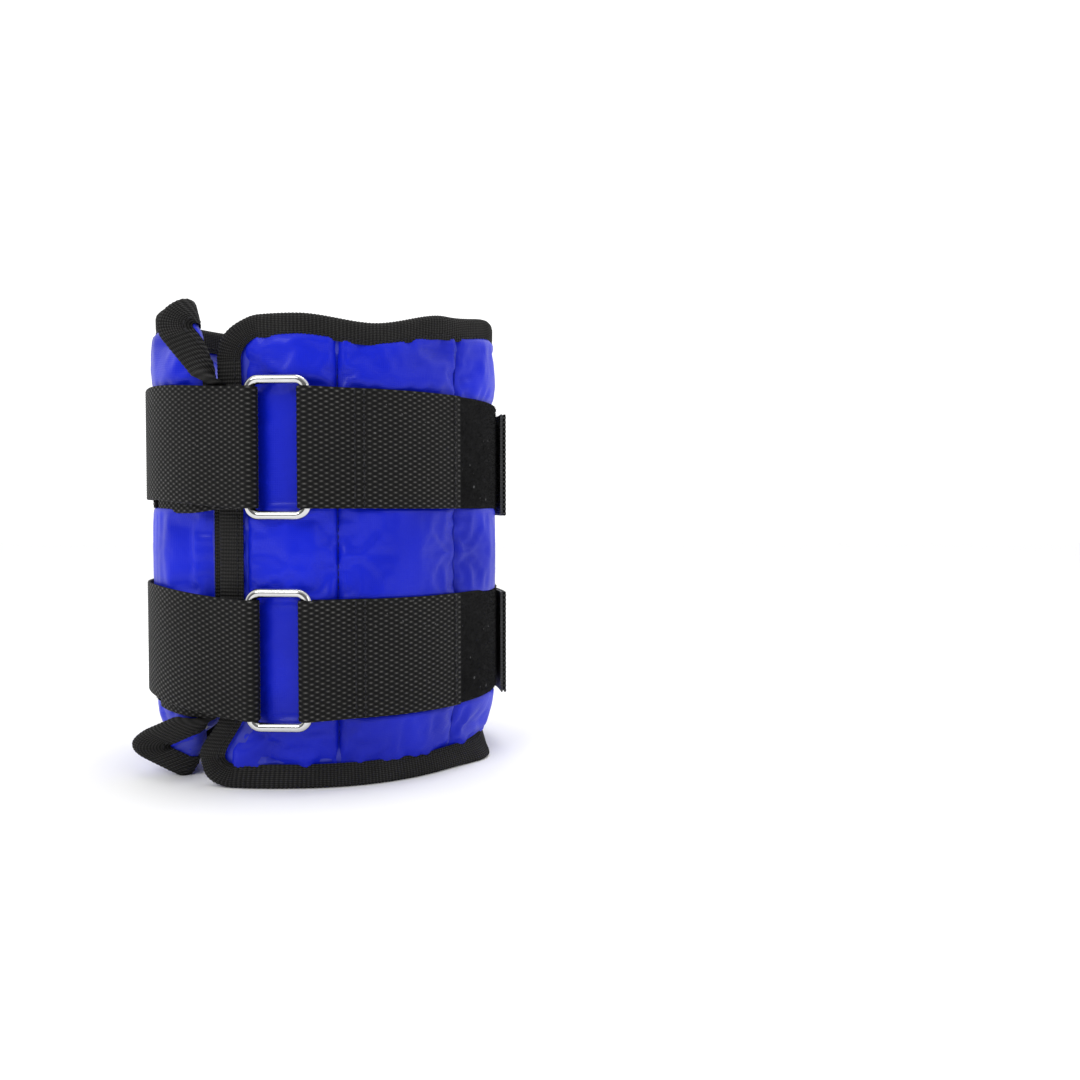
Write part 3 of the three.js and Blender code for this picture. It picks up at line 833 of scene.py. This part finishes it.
seamStitch = {"pitch": 3.0, "length": 2.5, "radius": 0.32, "lift": 0.15, "pastFlange": 2}
tapeStitch = {"pitch": 3.4, "length": 2.6, "radius": 0.3, "lift": -0.15}
webStitch = {"pitch": 3.2, "length": 2.6, "radius": 0.42, "lift": 0.05, "margin": 2,
             "fromLanding": (1.5, 4.2), "fromEnd": 2.5}


def seamLines():
    lines = []
    skins = ((coverSurface, coverSizes, 1, coverSeed), (liningSurface, liningSizes, -1, liningSeed))
    start = band["flange"] - seamStitch["pastFlange"]
    for surface, sizes, sign, seed in skins:
        for seam in seams:
            z = np.linspace(start, cuffHeight - start, 90)
            angle = np.full_like(z, seam)
            radius = surface(angle, z) + sign * (clothPuckers(angle, z, sizes, seed) + seamStitch["lift"])
            lines.append(onBand(angle, z, radius))
    return lines


def tapeLines():
    lines = []
    for path in tapePaths.values():
        angle, z = path(np.array([[tape["stitchDepth"]]]), tape["stitchStep"])
        for radius in (tapeOuter + tape["thickness"], tapeInner - tape["thickness"]):
            sign = 1 if radius > band["seamRadius"] else -1
            lines.append(onBand(angle[:, 0], z[:, 0], radius + sign * tapeStitch["lift"]))
    return lines


for name, lines, sizes, slot in (("channel_stitches", seamLines(), seamStitch, "cover_nylon"),
                                 ("binding_stitches", tapeLines(), tapeStitch, "binding_tape")):
    rows = sewLines(name, lines, sizes)
    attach(rows, "cuff_band")
print("stitches made")


web = {"thickness": 1.4, "sample": 0.56, "relief": 0.26, "hem": 0.9, "hemThickness": 0.35, "barPlay": 0.6,
       "wire": 4, "anchorEnd": 55, "anchorDescent": 12, "tapeStart": 46, "tapeEnd": 300, "buttGap": 2,
       "firstBendLead": 12, "pileThickness": 1.8, "hookThickness": 1.2, "baseDrop": 2.0,
       "baseLevel": 14, "baseDropRun": 25, "tailDrop": 3.5, "tailRise": 4, "riseRun": 75,
       "sinkFrom": 150, "flapCurl": 4.5, "flapPoints": 12, "blendReach": 22, "baseBlend": (14, 1)}
bendCount = 8
bandRadius = band["seamRadius"] + band["bulge"] + band["layerGap"]
underLayer = bandRadius + web["thickness"] / 2
pileOuter = bandRadius + web["pileThickness"]
anchorLayer = pileOuter + band["layerGap"] + web["thickness"] / 2
wrapRadius = web["wire"] / 2 + web["barPlay"] + web["thickness"] / 2


def jointPoint(name):
    joint = next(j for j in frame["joints"] if j["name"] == name)
    return np.array(joint["pos_m"][:2]) / mm


rightBar = jointPoint("upper_ring_swing")
ringMiddle = np.array((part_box("upper_ring")[0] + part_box("upper_ring")[1])[:2]) / (2 * mm)
leftBar = 2 * ringMiddle - rightBar
bendPoints = [jointPoint(f"upper_strap_bend_{k}") for k in range(1, bendCount + 1)]
bendAngles = [angleAndRadius(point)[0] for point in bendPoints]
bendAngles = [angle - 360 if angle > 0 else angle for angle in bendAngles]
tailLayer = angleAndRadius(bendPoints[1])[1] - web["thickness"] / 2
tailLanding = bendAngles[1] + web["firstBendLead"]
flapEnd = np.array([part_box("upper_tail_8")[i].x for i in (0, 1)]) / mm


def wrapRound(bar, target, turn, pitch=0.5):  # round a ring's bar, until the line to the target
    inward = math.atan2(axis.y - bar[1], axis.x - bar[0])
    away = target - bar
    lift = math.acos(wrapRadius / np.hypot(*away))
    leave = math.atan2(away[1], away[0]) - turn * lift
    span = (turn * (leave - inward)) % (2 * math.pi)
    angles = inward + turn * np.linspace(0, span, round(span * wrapRadius / pitch) + 1)
    return bar + wrapRadius * np.stack([np.cos(angles), np.sin(angles)], -1)


def arc(radius, start, end):  # a point for each degree
    count = max(2, round(abs(end - start)))
    return toPlan(np.linspace(start, end, count + 1), radius)


def evenly(line, pitch):  # the same line with points a pitch apart
    lengths = np.concatenate([[0], np.cumsum(np.hypot(*np.diff(line, axis=0).T))])
    keep = np.concatenate([[True], np.diff(lengths) > 1e-6])
    run = np.arange(0, lengths[-1], pitch)
    return np.stack([np.interp(run, lengths[keep], line[keep, k]) for k in (0, 1)], -1), run


def webRelief(run, across):
    turn = 2 * np.pi / webLook["pitch"]
    return web["relief"] * (0.5 * np.cos(run * turn / 2) * np.cos(across * turn) - 0.5)


# A strip along a line in plan. The run is the distance along the line, and drop lowers it.
def makeWeb(name, line, run, height, looks=None, relief=True, thickness=None, drop=0):
    across = np.arange(0, webWidth + web["sample"] / 50, web["sample"])
    way = unitRows(np.gradient(line, axis=0))
    side = np.stack([way[:, 1], -way[:, 0]], -1)
    middle = line.mean(0) - [axis.x, axis.y]
    if ((middle + side.mean(0)) ** 2).sum() < (middle ** 2).sum():
        side = -side
    runs, rows = np.meshgrid(run, across, indexing="ij")
    hem = np.clip(np.minimum(rows, webWidth - rows) / web["hem"], 0, 1)
    fullness = web["hemThickness"] + (1 - web["hemThickness"]) * np.sqrt(1 - (1 - hem) ** 2)
    half = (thickness or web["thickness"]) / 2 * fullness
    depth = webRelief(runs, rows) * hem if relief else 0 * rows
    z = rows + height - webWidth / 2 - np.reshape(drop, (-1, 1))
    skins = []
    for out in (1, -1):
        offset = out * (half + depth)
        plan = line[:, None, :] + side[:, None, :] * offset[..., None]
        skins.append(np.concatenate([plan, z[..., None]], -1))
    return closedSheet(name, *skins, looks or webFinish, np.stack([runs, rows], -1) * mm)


def inMetres(point, height):
    return (point[0] * mm, point[1] * mm, height * mm)


def tailRoute():
    landing = toPlan(tailLanding, tailLayer)
    wrap = wrapRound(leftBar, landing, -1)
    barAngle = angleAndRadius(leftBar)[0]
    sewnEnd = web["tapeEnd"] - 360 + math.degrees(web["buttGap"] / bandRadius)
    last = toPlan(bendAngles[-1], tailLayer)
    flapWay = toPlan(bendAngles[-1] - 90, 1) - toPlan(bendAngles[-1] - 90, 0)
    reach = max((flapEnd - last[0]) / flapWay[0])
    base = arc(underLayer, sewnEnd, barAngle)
    rightmost = int(np.argmax(wrap[:, 0]))
    first = np.concatenate([base[:-1], wrap[: rightmost + 1]])
    share = np.linspace(0, 1, web["flapPoints"])[:, None]
    inward = toPlan(bendAngles[-1], 0) - last
    flap = last + flapWay * (reach - web["thickness"] / 2) * share
    flap = flap + inward / tailLayer * web["flapCurl"] * share ** 2
    second = np.concatenate([wrap[rightmost:], arc(tailLayer, tailLanding, bendAngles[-1])[:-1], flap])
    return first, second


def tailDrop(run):  # the tail rises as it leaves the ring, and sinks towards its free end
    risen, sunk = past(run, (0, web["riseRun"])), past(run, (web["sinkFrom"], run[-1]))
    return (web["tailRise"] + web["tailDrop"]) * sunk - web["tailRise"] * risen


def blendAtBend(piece, side, k, line, bends, cuts):
    bodies = [f"{side}_ring_link"] + [f"{side}_strap_{i + 1}" for i in range(bendCount)]
    reach = min(bends[k] - cuts[k], cuts[k + 1] - bends[k], round(web["blendReach"] / web["sample"])) - 1
    start, end = (inMetres(line[bends[k] + way * reach], strapHeights[side]) for way in (-1, 1))
    bodies[k + 1]
    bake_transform(piece)


def makeTail(side):
    height = strapHeights[side]
    first, second = tailRoute()
    line, run = evenly(first, web["sample"])
    line[-1] = first[-1]
    baseDrop = web["baseDrop"] * smooth((run[-1] - run - web["baseLevel"]) / web["baseDropRun"])
    base = makeWeb(f"{side}_sewn_web", line, run, height, drop=baseDrop)
    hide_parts(f"{side}_tail_base")
    barAngle = angleAndRadius(leftBar)[0]
    start, end = (inMetres(toPlan(barAngle - before, underLayer), height) for before in web["baseBlend"])
    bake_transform(base)
    line, run = evenly(second, web["sample"])
    line[0] = second[0]
    bends = [int(np.argmin(np.hypot(*(line - point).T))) for point in bendPoints]
    cuts = [0] + [round((a + b) / 2) for a, b in zip(bends, bends[1:])] + [len(line) - 1]
    drop = tailDrop(run)
    for k in range(bendCount):
        stretch = slice(cuts[k], cuts[k + 1] + 1)
        piece = makeWeb(f"{side}_web_{k + 1}", line[stretch], run[stretch], height, drop=drop[stretch])
        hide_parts(f"{side}_tail_{k + 1}", *([f"{side}_tail_fold"] if k == 0 else []))
        blendAtBend(piece, side, k, line, bends, cuts)
    return line, run, bends, cuts


def makeHookTape(side, route):
    line, run, bends, cuts = route
    height = strapHeights[side]
    way = unitRows(np.gradient(line, axis=0))
    inward = np.stack([-way[:, 1], way[:, 0]], -1)
    apart = (web["thickness"] + web["hookThickness"]) / 2 + band["layerGap"]
    inner = line + inward * apart
    if angleAndRadius(inner[bends[3]])[1] > tailLayer:
        inner = line - inward * apart
    drop = tailDrop(run)
    for number, (start, end, k) in enumerate(((bends[6], cuts[7], 6), (cuts[7], len(line) - 1, 7))):
        stretch = slice(start, end + 1)
        piece = makeWeb(f"{side}_hooks_{number + 1}", inner[stretch], run[stretch], height,
                        hookFinish, False, web["hookThickness"], drop[stretch])
        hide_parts(f"{side}_hook_tape_{number + 1}")
        blendAtBend(piece, side, k, line, bends, cuts)


def makeAnchor(side):
    height = strapHeights[side]
    barAngle = angleAndRadius(rightBar)[0]
    underEnd = web["tapeStart"] - math.degrees(web["buttGap"] / bandRadius)
    landing = barAngle + web["anchorDescent"]
    route = np.concatenate([arc(underLayer, underEnd, barAngle)[:-1],
                            wrapRound(rightBar, toPlan(landing, anchorLayer), 1),
                            arc(anchorLayer, landing, web["anchorEnd"])])
    line, run = evenly(route, web["sample"])
    piece = makeWeb(f"{side}_anchor_web", line, run, height)
    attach(piece, "cuff_band")
    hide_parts(f"{side}_ring_anchor")
    lines = []
    stitched = webWidth / 2 - webStitch["margin"]
    z = np.linspace(height - stitched, height + stitched, 30)
    radius = anchorLayer + web["thickness"] / 2 + webStitch["lift"]
    angles = [landing + further for further in webStitch["fromLanding"]]
    for angle in (*angles, web["anchorEnd"] - webStitch["fromEnd"]):
        plan = toPlan(np.full_like(z, angle), radius)
        lines.append(np.concatenate([plan, z[:, None]], -1))
    rows = sewLines(f"{side}_anchor_stitches", lines, webStitch)
    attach(rows, "cuff_band")


pile = {"pitch": 1.4, "density": 1.25e6, "length": 0.85, "radius": 0.10, "tip": 0.35, "tilt": 1.1,
        "spin": 6.28, "seed": 5, "bedDepth": 0.3, "rootDepth": 0.2, "margin": 0.5, "bedRows": 20}


def tuftTree():
    graph, sockets, wires = openTree("tufts on a face", ("Density", "Length", "Radius"))
    geometry, density, length, radius, finish = wires
    tilt = pile["tilt"]
    spots = graph.add("GeometryNodeDistributePointsOnFaces", {},
                      {"Mesh": geometry, "Density": density, "Seed": pile["seed"]})
    upright = Wire(graph, spots.socket.node.outputs["Rotation"])
    chance = {0: (-tilt, -tilt, 0.0), 1: (tilt, tilt, pile["spin"]), "Seed": pile["seed"] + 1}
    leaning = graph.add("FunctionNodeRandomValue", {"data_type": "FLOAT_VECTOR"}, chance)
    turn = graph.add("FunctionNodeRotateRotation", {"rotation_space": "LOCAL"}, {0: upright, 1: leaning})
    bristle = graph.add("GeometryNodeMeshCone", {"fill_type": "NONE"},
                        {"Vertices": 3, "Radius Top": pile["tip"], "Radius Bottom": 1.0, "Depth": 1.0})
    size = graph.add("ShaderNodeCombineXYZ", {}, {0: radius, 1: radius, 2: length})
    planted = graph.add("GeometryNodeInstanceOnPoints", {},
                        {"Points": spots, "Instance": bristle, "Rotation": turn, "Scale": size})
    closeTree(graph, graph.add("GeometryNodeRealizeInstances", {}, {0: planted}), finish)
    return graph.tree, sockets


tufting = tuftTree()


def makeLoopTape(side):
    height = strapHeights[side]
    middle = bandRadius + web["pileThickness"] / 2
    line, run = evenly(arc(middle, web["tapeStart"], web["tapeEnd"]), pile["pitch"])
    thickness = web["pileThickness"] - pile["bedDepth"]
    strip = makeWeb(f"{side}_loop_strip", line, run, height, pileFinish, False, thickness)
    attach(strip, "cuff_band")
    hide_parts(f"{side}_loop_tape")
    reach = webWidth / 2 - pile["margin"]
    rows = np.linspace(height - reach, height + reach, pile["bedRows"])
    plan = arc(pileOuter - pile["rootDepth"], web["anchorEnd"] + pile["margin"], web["tapeEnd"])
    grid = np.concatenate([np.broadcast_to(plan[None], (len(rows), *plan.shape)),
                           np.broadcast_to(rows[:, None, None], (len(rows), len(plan), 1))], -1)
    index = np.arange(grid[..., 0].size).reshape(grid.shape[:2])
    flat = np.stack(np.meshgrid(np.arange(len(plan)), rows, indexing="xy"), -1).reshape(-1, 2) * mm
    bed = newPiece(f"{side}_pile_bed", grid.reshape(-1, 3), gridFaces(index), pileFinish, flat)
    values = {"Density": pile["density"], "Length": pile["length"] * mm,
              "Radius": pile["radius"] * mm, "Finish": pileFinish}
    tufts = grown(bed, f"{side}_pile", tufting, values)
    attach(tufts, "cuff_band")


ringSizes = {"corner": 4.4, "sides": 24, "arcSteps": 14}


def ringPath(halfWidth, halfHeight):
    corner = ringSizes["corner"]
    points = []
    for quarter in range(4):
        turn = np.radians(np.linspace(0, 90, ringSizes["arcSteps"] + 1) + 90 * quarter)
        middle = np.array([(halfWidth - corner) * (1 if quarter in (0, 3) else -1),
                           (halfHeight - corner) * (1 if quarter < 2 else -1)])
        points.append(middle + corner * np.stack([np.cos(turn), np.sin(turn)], -1))
    return np.concatenate(points)


def makeRing(side):
    low, high = (np.array(corner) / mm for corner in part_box(f"{side}_ring"))
    halfWidth = np.hypot(*(rightBar - leftBar)) / 2
    halfHeight = (high[2] - low[2]) / 2 - web["wire"] / 2
    path = ringPath(halfWidth, halfHeight)
    across = unitRows(rightBar - leftBar)
    facing = np.array([across[1], -across[0]])
    middle = np.array([*ringMiddle, (low[2] + high[2]) / 2])
    toSpace = np.array([[*across, 0], [0, 0, 1]])
    flat = path @ toSpace
    way = unitRows(np.roll(flat, -1, 0) - np.roll(flat, 1, 0))
    front = np.array([*facing, 0])
    outward = np.cross(way, front)
    turn = np.radians(np.linspace(0, 360, ringSizes["sides"], endpoint=False))[None, :, None]
    rim = outward[:, None] * np.cos(turn) + front * np.sin(turn)
    points = middle + flat[:, None] + web["wire"] / 2 * rim
    index = np.arange(points[..., 0].size).reshape(points.shape[:2])
    index = np.concatenate([index, index[:1]])
    index = np.concatenate([index, index[:, :1]], 1)
    faces = gridFaces(index)
    points = points.reshape(-1, 3)
    normal = np.cross(points[faces[0, 1]] - points[faces[0, 0]], points[faces[0, 2]] - points[faces[0, 0]])
    if normal @ rim[0, 0] < 0:
        faces = faces[:, ::-1]
    piece = newPiece(f"{side}_wire_ring", points, faces, ringFinish)
    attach(piece, f"{side}_ring_link")
    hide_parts(f"{side}_ring")


for side in sides:
    makeAnchor(side)
    makeHookTape(side, makeTail(side))
    makeLoopTape(side)
    makeRing(side)
    print(side, "strap made")


# The lengths of the floor and the lamps are metres, and the powers are watts.
studio = {"floorSize": 6.0, "floor": (0.97, 0.97, 0.97, 1), "back": 1.22, "front": 0.2,
          "behindShare": 1.3, "aboveShare": 1.2, "level": 0.35}
lamps = {"key": {"place": (-0.45, -0.9, 0.8), "size": 0.5, "power": 4.6},
         "fill": {"place": (0.9, -0.6, 0.5), "size": 0.6, "power": 1.5},
         "top": {"place": (0.1, 0.1, 1.1), "size": 0.6, "power": 3.5}}
lampTarget = (0, 0, 0.1)
view = {"place": (103, -492, 118), "tilt": 1.8, "lens": 33.3}  # the place is in millimetres


def makeFloor():
    half = studio["floorSize"] / 2 / mm
    corners = [(-half, -half, 0), (half, -half, 0), (half, half, 0), (-half, half, 0)]
    looks = newMaterial("pale floor", {"Base Color": studio["floor"], "Roughness": 0.7}, lambda graph: {})
    floor = newPiece("floor", corners, [(0, 1, 2, 3)], looks)


def makeLamp(name, place, size, power):
    light = bpy.data.lights.new(name, "AREA")
    light.shape = "DISK"
    light.size = size
    light.energy = power
    lamp = bpy.data.objects.new(name, light)
    lamp.location = place
    way = np.array(place) - np.array(lampTarget)
    pan = math.atan2(way[0], -way[1])
    fall = math.atan2(math.hypot(way[0], way[1]), way[2])
    lamp.rotation_euler = (fall, 0, pan)
    bpy.context.scene.collection.objects.link(lamp)


makeFloor()
world = bpy.data.worlds.new("studio")
world.use_nodes = True
surround = Graph(world.node_tree)
wayOut = surround.add("ShaderNodeTexCoord", {}, {}, "Generated")
behind = surround.add("ShaderNodeSeparateXYZ", {}, {0: wayOut}, 1)
above = surround.add("ShaderNodeSeparateXYZ", {}, {0: wayOut}, 2)
share = (behind * studio["behindShare"] + above * studio["aboveShare"] + studio["level"]).kept()
light = share * (studio["back"] - studio["front"]) + studio["front"]
world.node_tree.links.new(light.socket, world.node_tree.nodes["Background"].inputs[1])
world.node_tree.nodes["Background"].inputs[0].default_value = (1, 1, 1, 1)
bpy.context.scene.world = world
for name, lamp in lamps.items():
    makeLamp(name, **lamp)

camera = bpy.data.objects.new("camera", bpy.data.cameras.new("camera"))
camera.data.lens = view["lens"]
camera.data.clip_start = 0.01
camera.location = (np.array(view["place"]) + [axis.x, axis.y, 0]) * mm
camera.rotation_euler = (math.radians(90 - view["tilt"]), 0, 0)
bpy.context.scene.collection.objects.link(camera)
bpy.context.scene.camera = camera
bpy.context.scene.view_settings.view_transform = "Standard"
